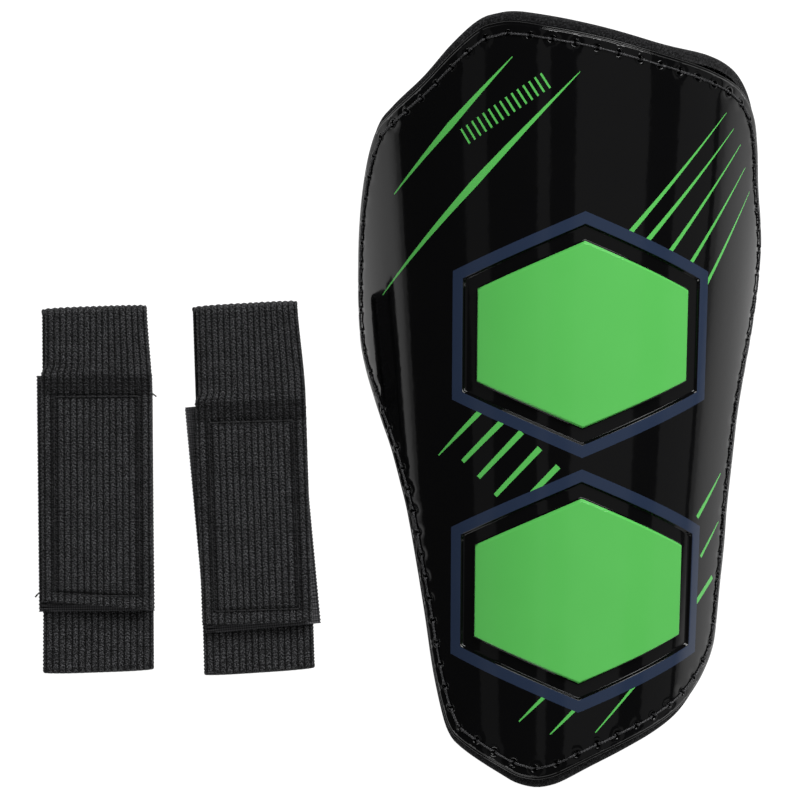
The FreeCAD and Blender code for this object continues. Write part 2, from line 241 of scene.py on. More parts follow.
def make_piece(name, points, faces, materials, body=None, face_material=None, normals=None,
               attributes=None, crease=None):
    """A mesh object from millimetre points, with its materials, riding on a body."""
    mesh = bpy.data.meshes.new(name)
    mesh.from_pydata((np.asarray(points) * MM).tolist(), [], faces)
    for material in materials:
        mesh.materials.append(material)
    if face_material is not None:
        mesh.polygons.foreach_set("material_index", np.asarray(face_material, np.int32))
    mesh.polygons.foreach_set("use_smooth", np.ones(len(mesh.polygons), bool))
    for label, values in (attributes or {}).items():
        layer = mesh.attributes.new(label, "FLOAT_VECTOR", "POINT")
        layer.data.foreach_set("vector", np.asarray(values, np.float32).ravel())
    mesh.validate()
    mesh.update()
    if crease:
        mesh.set_sharp_from_angle(angle=math.radians(crease))
    if normals is not None:
        mesh.normals_split_custom_set_from_vertices(np.asarray(normals).tolist())
    piece = bpy.data.objects.new(name, mesh)
    bpy.context.scene.collection.objects.link(piece)
    if body:
        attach(piece, body)
    return piece


def grid_faces(rows, columns, wrap=False):
    """Quads over a grid of rows x columns points, with columns closed into a ring if wrap."""
    faces = []
    last = columns if wrap else columns - 1
    for row in range(rows - 1):
        for column in range(last):
            a = row * columns + column
            b = row * columns + (column + 1) % columns
            faces.append((a, b, b + columns, a + columns))
    return faces


def tube(path, radius, sides=8):
    """Points and faces of a closed round tube along a path; radius may vary along it."""
    path = np.asarray(path, float)
    count = len(path)
    radius = np.broadcast_to(radius, (count,))
    heading = unit(np.gradient(path, axis=0))
    up = np.array([0.0, 0.0, 1.0]) if abs(heading[0][2]) < 0.8 else np.array([0.0, 1.0, 0.0])
    rings = []
    for i in range(count):
        up = up - heading[i] * up.dot(heading[i])
        up /= np.linalg.norm(up)
        side = np.cross(heading[i], up)
        angle = np.linspace(0.0, 2.0 * math.pi, sides, endpoint=False)
        rings.append(path[i] + radius[i] * (np.cos(angle)[:, None] * up
                                            + np.sin(angle)[:, None] * side))
    points = np.vstack(rings)
    faces = grid_faces(count, sides, wrap=True)
    faces.append(tuple(range(sides - 1, -1, -1)))
    faces.append(tuple(range((count - 1) * sides, count * sides)))
    return points, faces


def joined(parts):
    """Several (points, faces) pairs as one."""
    points, faces, first = [], [], 0
    for some_points, some_faces in parts:
        points.append(some_points)
        faces.extend(tuple(first + i for i in face) for face in some_faces)
        first += len(some_points)
    return np.vstack(points), faces


def two_ply(path, ply_radius, pitch, sides=6):
    """A thread of two strands twisted round each other."""
    path = np.asarray(path, float)
    heading = unit(np.gradient(path, axis=0))
    travelled = np.concatenate([[0], np.cumsum(np.linalg.norm(np.diff(path, axis=0), axis=1))])
    up = np.array([0.3, 0.2, 0.93])
    strands = []
    for half_turn in (0.0, math.pi):
        points = []
        for i in range(len(path)):
            across = np.cross(heading[i], up)
            across /= np.linalg.norm(across)
            over = np.cross(across, heading[i])
            angle = half_turn + 2.0 * math.pi * travelled[i] / pitch
            points.append(path[i] + 0.8 * ply_radius * (math.cos(angle) * across
                                                        + math.sin(angle) * over))
        strands.append(tube(points, ply_radius, sides))
    return joined(strands)


# ---- the guard's outlines and relief ---------------------------------------------------------

rim = closed_spline(SHELL_RIM, RIM_STEPS)
rim_outward = outward_of(rim)
corner_gap = np.linalg.norm(rim - np.array(CORNER_AT), axis=1) / CORNER_SPREAD
foam_reach = FOAM_MARGIN + CORNER_MARGIN * np.exp(-0.5 * corner_gap ** 2)
foam_outline = rim + rim_outward * foam_reach[:, None]
seam_line = rim - rim_outward * SEAM_INSET
seam_holes = evenly(seam_line, STITCH_COUNT, closed=True)
hole_shapes = np.stack([rng.uniform(0.88, 1.04, STITCH_COUNT), rng.uniform(0.0, 0.75, STITCH_COUNT),
                        rng.uniform(0.0, math.pi, STITCH_COUNT)], axis=1)


def panel_outline(centre):
    left, right = PANEL_SIDES
    return np.array([(PANEL_MIDDLE, centre + PANEL_TIP), (left, centre + PANEL_SHOULDER),
                     (left, centre - PANEL_SHOULDER), (PANEL_MIDDLE, centre - PANEL_TIP),
                     (right, centre - PANEL_SHOULDER), (right, centre + PANEL_SHOULDER)])


def panel_inset(points, corners):
    """How far each point lies in from the nearest side of a convex panel."""
    depths = []
    for start, end in zip(corners, np.roll(corners, -1, 0)):
        inward = run_and_left(start, end)[1]
        depths.append((points - start) @ inward)
    return np.min(depths, axis=0)


def inset_corners(corners, inset):
    """Corners of a convex panel after each side has moved in by `inset`."""
    moved = []
    for before, corner, after in zip(np.roll(corners, 1, 0), corners, np.roll(corners, -1, 0)):
        first, second = run_and_left(before, corner)[1], run_and_left(corner, after)[1]
        reach = np.array([first @ before + inset, second @ corner + inset])
        moved.append(np.linalg.solve(np.array([first, second]), reach))
    return np.array(moved)


def subdivided(corners, step):
    """A closed loop through corners with points no further apart than `step`."""
    points = []
    for start, end in zip(corners, np.roll(corners, -1, 0)):
        count = max(1, int(math.ceil(np.linalg.norm(end - start) / step)))
        points.extend(start + (end - start) * (i / count) for i in range(count))
    return np.array(points)


def nearest_hole(points):
    """Distance to the nearest stitch hole; each is a little oval, and oval its own way."""
    nearest = np.full(len(points), np.inf)
    for hole, (size, squeeze, turn) in zip(seam_holes, hole_shapes):
        away = points - hole
        along = away @ np.array([math.cos(turn), math.sin(turn)])
        nearest = np.minimum(nearest, size * np.sqrt((away ** 2).sum(1) + squeeze * along ** 2))
    return nearest


def hole_profile(radius):
    """A moulded stitch hole with a raised lip, in the dimple that the tight thread pulls."""
    hole = -HOLE_DEPTH * (1.0 - smoothstep(HOLE_RADIUS - 0.22, HOLE_RADIUS + 0.05, radius))
    lip = LIP_HEIGHT * np.exp(-((radius - HOLE_RADIUS - LIP_OUT) / LIP_WIDTH) ** 2)
    return hole + lip - DIMPLE_DEPTH * np.exp(-(radius / DIMPLE_WIDTH) ** 2)


def panel_profile(inset):
    """Flat border, sunken moat, then a raised pad with a rounded bevel."""
    pad_start = PANEL_BORDER + MOAT_WIDTH - PAD_FOOT
    drop = -MOAT_DEPTH * smoothstep(PANEL_BORDER, PANEL_BORDER + MOAT_WALL, inset)
    rise = (MOAT_DEPTH + PAD_RISE) * smoothstep(pad_start, pad_start + PAD_WALL, inset)
    return drop + rise


def shell_height(points):
    """The front's relief: trimmed edge, stitch holes and panels, above the outer surface."""
    edge = np.interp(distance_to(points, rim), RIM_INSETS, RIM_LEVELS)
    height = np.where(inside(points, rim), edge, RIM_LEVELS[0]) + hole_profile(nearest_hole(points))
    for centre in PANEL_CENTRES:
        height = height + panel_profile(panel_inset(points, panel_outline(centre)))
    return height


def shell_normals(points):
    """Normals of the relief, so that reflections run cleanly over the triangles."""
    step = 0.04
    across, along = np.array([step, 0.0]), np.array([0.0, step])
    rise_across = (shell_height(points + across) - shell_height(points - across)) / (2 * step)
    rise_along = (shell_height(points + along) - shell_height(points - along)) / (2 * step)
    s, t = points[:, 0], points[:, 1]
    to_side, to_knee = (unit(way) for way in guard_ways(s, t, step))
    return unit(guard_normal(s, t) - to_side * rise_across[:, None]
                - to_knee * rise_along[:, None])


def formed_line(start, end, shares):
    """A line printed on the flat sheet, which forming has pulled part of the way straight."""
    flat = start + (end - start) * shares[:, None]
    radius = MID_RADIUS + RADIUS_TAPER * flat[:, 1]
    sideways = radius * np.sin(flat[:, 0] / radius)
    straight = np.interp(shares, [0.0, 1.0], [sideways[0], sideways[-1]])
    pulled = radius * np.arcsin(np.clip(straight / radius, -1.0, 1.0))
    flat[:, 0] += FORMING * (pulled - flat[:, 0])
    return flat


def stripe_outline(start, end, first_width, middle_width, last_width):
    """A long tapered stripe, as a closed loop of points."""
    start, end = np.array(start), np.array(end)
    side = run_and_left(start, end)[1]
    stations = np.linspace(0.0, 1.0, 13)
    widths = np.interp(stations, [0.0, 0.5, 1.0], [first_width, middle_width, last_width])
    middle = formed_line(start, end, stations)
    left = middle + side * widths[:, None] * 0.5
    right = middle - side * widths[:, None] * 0.5
    return np.vstack([right, left[::-1]])


def clear_of_panels(start, end, first_width, middle_width, last_width):
    """The stretches of a stripe that show outside the panels, as tapered outlines."""
    start, end = np.array(start), np.array(end)
    shares = np.linspace(0.0, 1.0, 200)
    points = formed_line(start, end, shares)
    open_now = np.ones(len(points), bool)
    for centre in PANEL_CENTRES:
        open_now &= panel_inset(points, panel_outline(centre)) < 0.5 * PANEL_BORDER
    loops = []
    changes = np.flatnonzero(np.diff(np.concatenate([[0], open_now.astype(int), [0]])))
    for first, last in changes.reshape(-1, 2):
        if last - first > 4:
            share = shares[[first, last - 1]]
            widths = np.interp([share[0], share.mean(), share[1]], [0.0, 0.5, 1.0],
                               [first_width, middle_width, last_width])
            loops.append(stripe_outline(points[first], points[last - 1], *widths))
    return loops


def tick_row(start, end, count, length, width):
    """A row of short plain dashes."""
    start, end = np.array(start), np.array(end)
    run, side = run_and_left(start, end)
    loops = []
    for i in range(count):
        middle = start + (end - start) * (i / (count - 1))
        along, across = run * width * 0.5, side * length * 0.5
        loops.append(np.array([middle - along - across, middle + along - across,
                               middle + along + across, middle - along + across]))
    return loops


TURN = np.array([[math.cos(NET_TURN), math.sin(NET_TURN)],
                 [-math.sin(NET_TURN), math.cos(NET_TURN)]])


class Triangulation:
    """Gathers points and fixed edges, then triangulates them."""

    def __init__(self):
        self.points, self.edges = [], []

    def add_points(self, points):
        self.points.extend(map(tuple, points))

    def add_loop(self, loop):
        first, count = len(self.points), len(loop)
        self.add_points(loop)
        self.edges.extend((first + i, first + (i + 1) % count) for i in range(count))

    def run(self, outline):
        """Points, the triangles inside an outline, and where each point that was added went.

        It works in turned axes, so that no straight side lies along X or Y.
        """
        slanted = np.array(self.points) @ TURN
        out = delaunay_2d_cdt([Vector(p) for p in slanted], self.edges, [], 0, 1e-5, True)
        points = np.array([tuple(p) for p in out[0]]) @ TURN.T
        faces = facing_out(points, np.array([tuple(face) for face in out[2]]))
        faces = faces[inside(points[faces].mean(1), outline)]
        found = {old: index for index, olds in enumerate(out[3]) for old in olds}
        return points, faces, found


def clear_of(points, obstacles, gap):
    keep = np.ones(len(points), bool)
    for obstacle in obstacles:
        keep &= np.linalg.norm(points - obstacle, axis=1) > gap
    return points[keep]


def grid_inside(loop, spacing, margin):
    """Points spread inside a loop; a little unevenness keeps the triangulation clean."""
    low, high = loop.min(0), loop.max(0)
    s, t = np.meshgrid(np.arange(low[0], high[0], spacing), np.arange(low[1], high[1], spacing))
    s[::2] += 0.5 * spacing
    points = np.stack([s.ravel(), t.ravel()], axis=1)
    points += rng.uniform(-0.1 * spacing, 0.1 * spacing, points.shape)
    points = points[inside(points, loop)]
    return points[distance_to(points, loop) > margin]


def facing_out(points, faces):
    """Triangles turned so that each faces anticlockwise in the (around, along) plane."""
    a, b, c = points[faces[:, 0]], points[faces[:, 1]], points[faces[:, 2]]
    area = (b[:, 0] - a[:, 0]) * (c[:, 1] - a[:, 1]) - (b[:, 1] - a[:, 1]) * (c[:, 0] - a[:, 0])
    faces = faces[np.abs(area) > 1e-7]
    area = area[np.abs(area) > 1e-7]
    faces[area < 0] = faces[area < 0][:, ::-1]
    return faces


def shell_net(stripes):
    """Points and fixed edges of the front: rim, stitch holes, prints, panels, and the field."""
    net = Triangulation()
    net.add_loop(rim)
    for inset in RIM_INSETS[1:]:
        net.add_points(rim - rim_outward * inset)
    net.add_points(clear_of(rim - rim_outward * LAST_RING, seam_holes, RING_TO_HOLE))
    for hole in seam_holes:
        net.add_points([hole])
        for radius, count in HOLE_RINGS:
            angle = np.linspace(0.0, 2.0 * math.pi, count, endpoint=False) + radius
            net.add_points(hole + radius * np.stack([np.cos(angle), np.sin(angle)], axis=1))
    for stripe in stripes:
        net.add_loop(stripe)
    field = clear_of(grid_inside(rim, *FRONT_FIELD), seam_holes, FIELD_TO_HOLE)
    crowded = np.zeros(len(field), bool)
    for centre in PANEL_CENTRES:
        corners = panel_outline(centre)
        net.add_loop(subdivided(corners, BORDER_STEP))
        for inset in PANEL_RINGS:
            net.add_loop(subdivided(inset_corners(corners, PANEL_BORDER + inset), RING_STEP))
        depth = panel_inset(field, corners) - PANEL_BORDER
        crowded |= (depth > FIELD_TO_PANEL[0]) & (depth < FIELD_TO_PANEL[1])
    net.add_points(field[~crowded])
    return net


def shell_colours(centres, stripes):
    """The material slot of each front face, from where its centre lies."""
    colour = np.full(len(centres), BLACK)
    for stripe in stripes:
        colour[inside(centres, stripe)] = GREEN
    for centre in PANEL_CENTRES:
        depth = panel_inset(centres, panel_outline(centre))
        colour[depth > 0.0] = NAVY
        colour[depth > PANEL_BORDER] = BLACK
        colour[depth > PANEL_BORDER + MOAT_WIDTH] = GREEN
    return colour


def build_shell(materials):
    """Moulded shell as one closed mesh: relief, holes and prints in front, plain behind."""
    stripes = [loop for stripe in STRIPES for loop in clear_of_panels(*stripe)]
    stripes += tick_row(*DASHES)
    flat, faces, found = shell_net(stripes).run(rim)
    front = on_guard(flat, shell_height(flat))
    normals = shell_normals(flat)
    rim_points = [found[i] for i in range(RIM_STEPS)]
    normals[rim_points] = on_guard(rim + rim_outward * 0.1, -1.4) - on_guard(rim, -1.36)

    back_net = Triangulation()
    back_net.add_loop(rim)
    back_net.add_points(grid_inside(rim, *BACK_FIELD))
    back_flat, back_faces, back_found = back_net.run(rim)
    back = on_guard(back_flat, -SHELL_BACK)
    back_normals = -guard_normal(back_flat[:, 0], back_flat[:, 1])
    back_rim = [back_found[i] + len(front) for i in range(RIM_STEPS)]

    walls = []
    for i in range(RIM_STEPS):
        j = (i + 1) % RIM_STEPS
        walls.append((rim_points[i], back_rim[i], back_rim[j], rim_points[j]))
    all_faces = faces.tolist() + (back_faces[:, ::-1] + len(front)).tolist() + walls
    plain = np.full(len(back_faces) + len(walls), BLACK)
    colours = np.concatenate([shell_colours(flat[faces].mean(1), stripes), plain])
    all_flat = np.vstack([flat, back_flat])
    coordinates = np.column_stack([all_flat, np.zeros(len(all_flat))])
    shell = make_piece("guard_shell", np.vstack([front, back]), all_faces, materials,
                       face_material=colours, normals=np.vstack([normals, back_normals]),
                       attributes={"flat": coordinates}, body="guard")
    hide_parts("shell")


# ---- foam, lining and perimeter stitching ----------------------------------------------------

# A thread's strands: each one's radius, and the length in which they turn once.
SEAM_PLY, SEAM_TWIST = 0.215, 1.7
# Foam edge from under the shell, over the rounded shoulder and down: (outward, depth).
FOAM_EDGE = [(-3.2, 1.93), (-2.2, 1.93), (-1.5, 1.95), (-1.0, 2.04), (-0.6, 2.22), (-0.3, 2.5),
             (-0.1, 2.9), (0.02, 3.4), (0.08, 4.0), (0.06, 4.6), (0.0, 5.2), (-0.1, 5.7),
             (-0.3, 6.08), (-0.6, 6.3), (-1.1, 6.4)]
LINING_EDGE = [(-0.9, 6.42), (-0.35, 6.46), (-0.05, 6.62), (0.02, 6.82), (-0.05, 7.02),
               (-0.3, 7.16), (-0.8, 7.2), (-1.6, 7.2)]
SEAM_DENT, DENT_WIDTH = 0.5, 1.5
HOLE_DENT, HOLE_DENT_WIDTH = 0.35, 0.9
# Lines of mesh points beside the seam, where it dents a layer.
DENT_LINES = (-2.2, -1.4, -0.7, 0.0, 0.7, 1.4)
NOTCH_AT, NOTCH_DEPTH, NOTCH_WIDTH = (-22.3, -93.7), 0.9, 0.8


def rolling(waves, size):
    """A smooth wobble round the guard's outline, from a few random waves."""
    turn = np.linspace(0.0, 2.0 * math.pi, RIM_STEPS, endpoint=False)
    total = np.zeros(RIM_STEPS)
    for wave in waves:
        total += np.cos(wave * turn + rng.uniform(0.0, 2.0 * math.pi)) / len(waves)
    return size * total


def seam_dent(points):
    """How far the tight seam pulls the soft layers in from behind."""
    gap = distance_to(points, seam_line)
    nearest = np.full(len(points), np.inf)
    for hole in seam_holes:
        nearest = np.minimum(nearest, np.linalg.norm(points - hole, axis=1))
    return (SEAM_DENT * np.exp(-(gap / DENT_WIDTH) ** 2)
            + HOLE_DENT * np.exp(-(nearest / HOLE_DENT_WIDTH) ** 2))


def layer_piece(name, edge, dent_front, wobble, spacing, material):
    """A soft layer of the guard: a closed mesh with a shaped edge all round."""
    notch = np.linalg.norm(foam_outline - np.array(NOTCH_AT), axis=1)
    pinch = NOTCH_DEPTH * np.exp(-(notch / NOTCH_WIDTH) ** 2)
    rings, parts, flats = [], [], []
    for outward, depth in edge:
        free = smoothstep(-2.5, -0.2, outward)
        ring = foam_outline + rim_outward * (outward + free * (wobble - pinch))[:, None]
        rings.append(ring)
        parts.append(on_guard(ring, -depth))
        flats.append(np.column_stack([ring, np.full(RIM_STEPS, -depth)]))
    faces = grid_faces(len(edge), RIM_STEPS, wrap=True)
    first = len(edge) * RIM_STEPS
    for row in (0, len(edge) - 1):
        ring, is_back = rings[row], row > 0
        is_dented = is_back or dent_front
        net = Triangulation()
        net.add_loop(ring)
        net.add_points(grid_inside(ring, spacing, 0.5 * spacing))
        for offset in DENT_LINES if is_dented else ():
            net.add_points(seam_line + outward_of(seam_line) * offset)
        flat, triangles, found = net.run(ring)
        height = np.full(len(flat), -edge[row][1])
        if is_dented:
            height += seam_dent(flat) * smoothstep(0.3, 1.4, distance_to(flat, ring))
        renumber = np.arange(len(flat)) + first
        for i in range(RIM_STEPS):
            renumber[found[i]] = row * RIM_STEPS + i
        triangles = renumber[triangles]
        faces += (triangles[:, ::-1] if is_back else triangles).tolist()
        parts.append(on_guard(flat, height))
        flats.append(np.column_stack([flat, height]))
        first += len(flat)
    piece = make_piece(name, np.vstack(parts), faces, [material], body="guard",
                       attributes={"flat": np.vstack(flats)})
    without_loose_points(piece)
    return piece


def without_loose_points(piece):
    """Deletes the points of a piece that no face uses."""
    mesh = bmesh.new()
    mesh.from_mesh(piece.data)
    loose = [vertex for vertex in mesh.verts if not vertex.link_faces]
    bmesh.ops.delete(mesh, geom=loose, context="VERTS")
    mesh.to_mesh(piece.data)
    mesh.free()


def build_foam(material):
    wobble = rolling((7, 11, 16, 23), 0.18)
    foam = layer_piece("guard_foam", FOAM_EDGE, False, wobble, 4.0, material)
    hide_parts("foam_pad")


def build_lining(material):
    wobble = rolling((5, 9, 14), 0.1)
    lining = layer_piece("guard_lining", LINING_EDGE, True, wobble, 3.0, material)
    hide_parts("lining")


def stitch_path(start, end, normal, lift, depth):
    """A thread's middle line: up out of one hole, across, and down into the next."""
    run = end - start
    points = []
    for share, height in ((0.075, -depth), (0.078, -0.45), (0.095, 0.02), (0.14, lift * 0.8),
                          (0.22, lift * 1.05), (0.36, lift), (0.5, lift * 0.93),
                          (0.64, lift), (0.78, lift * 1.05), (0.86, lift * 0.8),
                          (0.905, 0.02), (0.922, -0.45), (0.925, -depth)):
        points.append(start + run * share + normal * height)
    return np.array(points)


def seam_row(name, level, side, depth, material, node):
    """Two-ply stitches all round the guard, on one face of it."""
    holes = on_guard(seam_holes, level)
    normals = guard_normal(seam_holes[:, 0], seam_holes[:, 1]) * side
    stitches = []
    for i in range(STITCH_COUNT):
        j = (i + 1) % STITCH_COUNT
        normal = normals[i] + normals[j]
        normal /= np.linalg.norm(normal)
        lift = 0.27 + rng.uniform(-0.04, 0.05)
        slack = np.cross(normal, holes[j] - holes[i]) * rng.uniform(-0.012, 0.012)
        path = stitch_path(holes[i] + slack, holes[j] + slack, normal, lift, depth)
        stitches.append(two_ply(path, SEAM_PLY, SEAM_TWIST + rng.uniform(-0.1, 0.1)))
    points, faces = joined(stitches)
    row = make_piece(name, points, faces, [material], body="guard")
    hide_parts(node)


# ---- straps ----------------------------------------------------------------------------------

BAND_WIDTH, BAND_THICKNESS = 30.0, 1.3
FLOOR_LEAF, INNER_LEAF, TOP_LEAF = 0.65, 2.2, 6.0
LOOP_BASE, HOOK_BASE, TAB_BASE, TAB_TOP = 2.85, 4.15, 5.35, 6.65
RIB_COUNT = 17
RIB_PITCH = BAND_WIDTH / RIB_COUNT
KNIT_PITCH = 1.05
SELVAGE_PITCH = 1.0
FLAP_START = 40.0
HOOK_WIDTH, HOOK_THICKNESS, LOOP_WIDTH, LOOP_THICKNESS = 27.0, 0.6, 31.4, 0.7
# Heights of the hooks' and loops' roots and tips above HOOK_BASE and LOOP_BASE.
HOOK_ROOT, HOOK_TIP, LOOP_ROOT, LOOP_TIP = 0.62, 0.14, 0.68, 1.24
FIELD_MARGIN = 1.6
HOOK_SEAM_WIDTH, LOOP_SEAM_WIDTH, SEAM_MARGIN, BOX_STITCH_PITCH = 23.0, 25.0, 2.0, 3.0
BOX_PLY, BOX_TWIST, TAIL_PLY, TAIL_TWIST = 0.14, 1.2, 0.17, 1.0
GROOVE_WIDTH = 0.7
SELVAGE_ANGLES = [math.radians(angle) for angle in (50.0, 0.0, -50.0)]
# Where the straps narrow and where their folds begin to slant and bow, along each strap.
NECK, TOP_FROM, BOTTOM_FROM = (24.0, 52.0), 38.0, -40.0
RIGHT_NECK, LEFT_NECK, FOLD_BOW = 1.5, 1.1, 0.35
UPPER_LEAVES = (3.2, 4.0)

# A loop tape is (start, end, sideways shift, turn).  Slants are in mm over half the width:
# how much further the right side of each fold or end reaches than the left.
STRAPS = {
    "strap_1": {"at": (-82.3, -23.2), "lean": 0.3, "top": 50.0, "bottom": -50.0,
                "rise": 14.0, "hinge": 27.8, "tab_end": -32.6, "inner_end": 29.8,
                "hook": (27.0, -31.2), "loop": (30.8, -33.4, -0.5, 0.3),
                "top_slant": 0.45, "bottom_slant": 0.45, "end_slant": -1.3, "end_shift": 0.9,
                "tails": [((14.4, 25.6), (16.2, 24.9)), ((-14.6, -27.6), (-16.9, -29.4))]},
    "strap_2": {"at": (-39.9, -22.8), "lean": 1.9, "top": 50.5, "bottom": -50.5,
                "rise": 9.0, "hinge": 20.6, "tab_end": -37.0, "inner_end": 22.6,
                "hook": (19.8, -35.4), "loop": (23.2, -38.6, -0.4, 3.4),
                "top_slant": 0.35, "bottom_slant": 0.5, "end_slant": 0.0, "end_shift": 0.0,
                "tails": []},
}


def rounded(corners):
    """Close-set points of a line in the YZ plane with rounded corners (y, z, radius)."""
    points = [np.array(corners[0][:2])]
    for before, corner, after in zip(corners, corners[1:], corners[2:]):
        b, c, a = (np.array(p[:2]) for p in (before, corner, after))
        into, out = (c - b) / np.linalg.norm(c - b), (a - c) / np.linalg.norm(a - c)
        turn = math.copysign(1.0, into[0] * out[1] - into[1] * out[0])
        bend = math.acos(max(-1.0, min(1.0, into @ out)))
        start = c - into * corner[2] * math.tan(0.5 * bend)
        centre = start + turn * corner[2] * np.array([-into[1], into[0]])
        arm = start - centre
        for share in np.linspace(0.0, 1.0, 16):
            angle = turn * bend * share
            points.append(centre + np.array(turned(arm[0], arm[1], angle)))
    points.append(np.array(corners[-1][:2]))
    return np.array(points)


class Line:
    """A strip's middle line in the YZ plane, sampled at chosen runs along it."""

    def __init__(self, points):
        self.points = points
        steps = np.linalg.norm(np.diff(points, axis=0), axis=1)
        self.runs = np.concatenate([[0.0], np.cumsum(steps)])

    def at(self, run):
        return np.stack([np.interp(run, self.runs, self.points[:, i]) for i in (0, 1)], axis=-1)

    def heading(self, run):
        ahead = self.at(np.minimum(run + 0.15, self.runs[-1]))
        behind = self.at(np.maximum(run - 0.15, 0.0))
        return unit(ahead - behind)

    def run_where(self, test, after=0.0):
        """The first run, beyond `after`, at which a test of (y, z) holds."""
        fine = np.linspace(after, self.runs[-1], 4000)
        return fine[np.argmax([test(*p) for p in self.at(fine)])]


def rows_between(stops):
    """Runs along a strip from (start, end, step) stretches that follow one another."""
    runs = []
    for start, end, step in stops:
        count = max(2, int(round((end - start) / step)) + 1)
        runs.extend(np.linspace(start, end, count)[0 if not runs else 1:])
    return np.array(runs)


def strip_section(width, thickness, columns, edge):
    """The ring of points round a strip: how far across, how high, and on which side each is."""
    half, top = 0.5 * width - edge, 0.5 * thickness
    outer, inner = columns
    ring = [(across, top, 1.0) for across in np.linspace(-half, half, outer)]
    ring += [(half + edge * math.cos(a), top * math.sin(a), 0.0) for a in SELVAGE_ANGLES]
    ring += [(across, -top, -1.0) for across in np.linspace(half, -half, inner)]
    ring += [(-half - edge * math.cos(a), top * math.sin(a), 0.0) for a in SELVAGE_ANGLES[::-1]]
    return np.array(ring).T


def strip(line, runs, width, thickness, columns, relief, scallop, edge=0.42):
    """A strip's points (rows, ring, 3), its faces, and each point's (across, run, side)."""
    across, height, side = strip_section(width, thickness, columns, edge)
    run = runs[:, None]
    level = height[None] + relief(across[None], run, side[None]) * side[None]
    fringe = (side[None] == 0.0) * np.sign(across[None]) * scallop(run)
    place, heading = line.at(runs), line.heading(runs)
    normal = np.stack([-heading[:, 1], heading[:, 0]], axis=-1)
    yz = place[:, None] + normal[:, None] * level[..., None]
    x = np.broadcast_to(across[None], level.shape) + fringe
    points = np.concatenate([x[..., None], yz], axis=-1)
    rows, ring = level.shape
    cloth = np.stack([x, np.broadcast_to(run, x.shape), np.broadcast_to(side, x.shape)], axis=-1)
    faces = grid_faces(rows, ring, wrap=True) + end_caps(rows, ring, columns)
    return points, faces, cloth.reshape(-1, 3)


def end_caps(rows, ring, columns):
    """Faces that close a strip's two cut ends, from the outer columns across to the inner."""
    outer, inner = columns
    corner = outer + len(SELVAGE_ANGLES)
    last = (rows - 1) * ring
    under = [corner + inner - 1 - round(i * (inner - 1) / (outer - 1)) for i in range(outer)]
    ends = []
    for i in range(outer - 1):
        across = (i, i + 1, under[i + 1])
        ends.append(across if under[i] == under[i + 1] else across + (under[i],))
    ends.append(tuple(range(outer - 1, corner + 1)))
    ends.append(tuple(range(corner + inner - 1, ring)) + (0,))
    faces = []
    for face in ends:
        faces.append(face)
        faces.append(tuple(last + k for k in reversed(face)))
    return faces


def knit_relief(across, run, side):
    """Ribs of small slanting loops outside, and a flatter knit inside."""
    rib = across / RIB_PITCH
    crown = np.abs(np.sin(math.pi * rib)) ** 0.7
    lean = np.abs(rib % 1.0 - 0.5)
    loops = 0.5 + 0.5 * np.cos(2.0 * math.pi * (run / KNIT_PITCH + 1.3 * lean))
    wander = 0.5 + 0.5 * np.sin(across * 2.1 + 1.7 * np.sin(run * 0.9)) * np.sin(run * 1.3)
    outer = 0.24 * crown + (0.1 + 0.06 * wander) * crown * loops - 0.27
    inner = 0.06 * np.cos(2.0 * math.pi * run / KNIT_PITCH) * crown - 0.04
    return np.where(side > 0, outer, inner)


def knit_scallop(run):
    return 0.14 * np.cos(2.0 * math.pi * run / SELVAGE_PITCH)


def box_groove(points, strap):
    """1 along the flap's box of stitching, which pulls a groove, and 0 away from it."""
    start, end = strap["hook"][0] - SEAM_MARGIN, strap["hook"][1] + SEAM_MARGIN
    half = 0.5 * HOOK_SEAM_WIDTH
    box = np.array([(-half, end), (half, end), (half, start), (-half, start)])
    return np.exp(-(distance_to(points, box) / GROOVE_WIDTH) ** 2)


def step_down(points, strap):
    """1 in the band where the flap drops from the tapes' ends to the box's top line."""
    above = points[:, 1] - strap["hook"][0]
    return smoothstep(-2.7, -1.5, above) * smoothstep(4.4, 1.8, above)


def painted_seam_shade(points, strap):
    """Painted shade on the flap's outer face along its stitching, from 0 to 1: darkest in the seam's
    groove and in the band where the flap drops to the box's top line.
    """
    return np.maximum(box_groove(points, strap), 0.7 * step_down(points, strap))


def settled(points, strap, is_flap):
    """The strap as it lies: necked towards its top, with slanted and slightly bowed folds."""
    flat = points.reshape(-1, 3).copy()
    x, y, z = flat.T      # views of flat, so each step works on what the steps before it left
    half = 0.5 * BAND_WIDTH
    upper = np.ones(len(x)) if is_flap else smoothstep(*UPPER_LEAVES, z)
    left_neck = LEFT_NECK * upper * smoothstep(strap["loop"][0], strap["loop"][0] + 3.0, y)
    x *= 1.0 - np.where(x > 0, RIGHT_NECK * smoothstep(*NECK, y), left_neck) / half
    share = x / half
    bow = FOLD_BOW * (1.0 - share ** 4) - 0.2
    y += smoothstep(TOP_FROM, strap["top"], y) * (strap["top_slant"] * share + bow)
    y += smoothstep(BOTTOM_FROM, strap["bottom"], y) * (strap["bottom_slant"] * share - bow)
    if is_flap:
        sink_seam(flat, points.reshape(-1, 3)[:, :2], strap)
    return flat.reshape(points.shape)


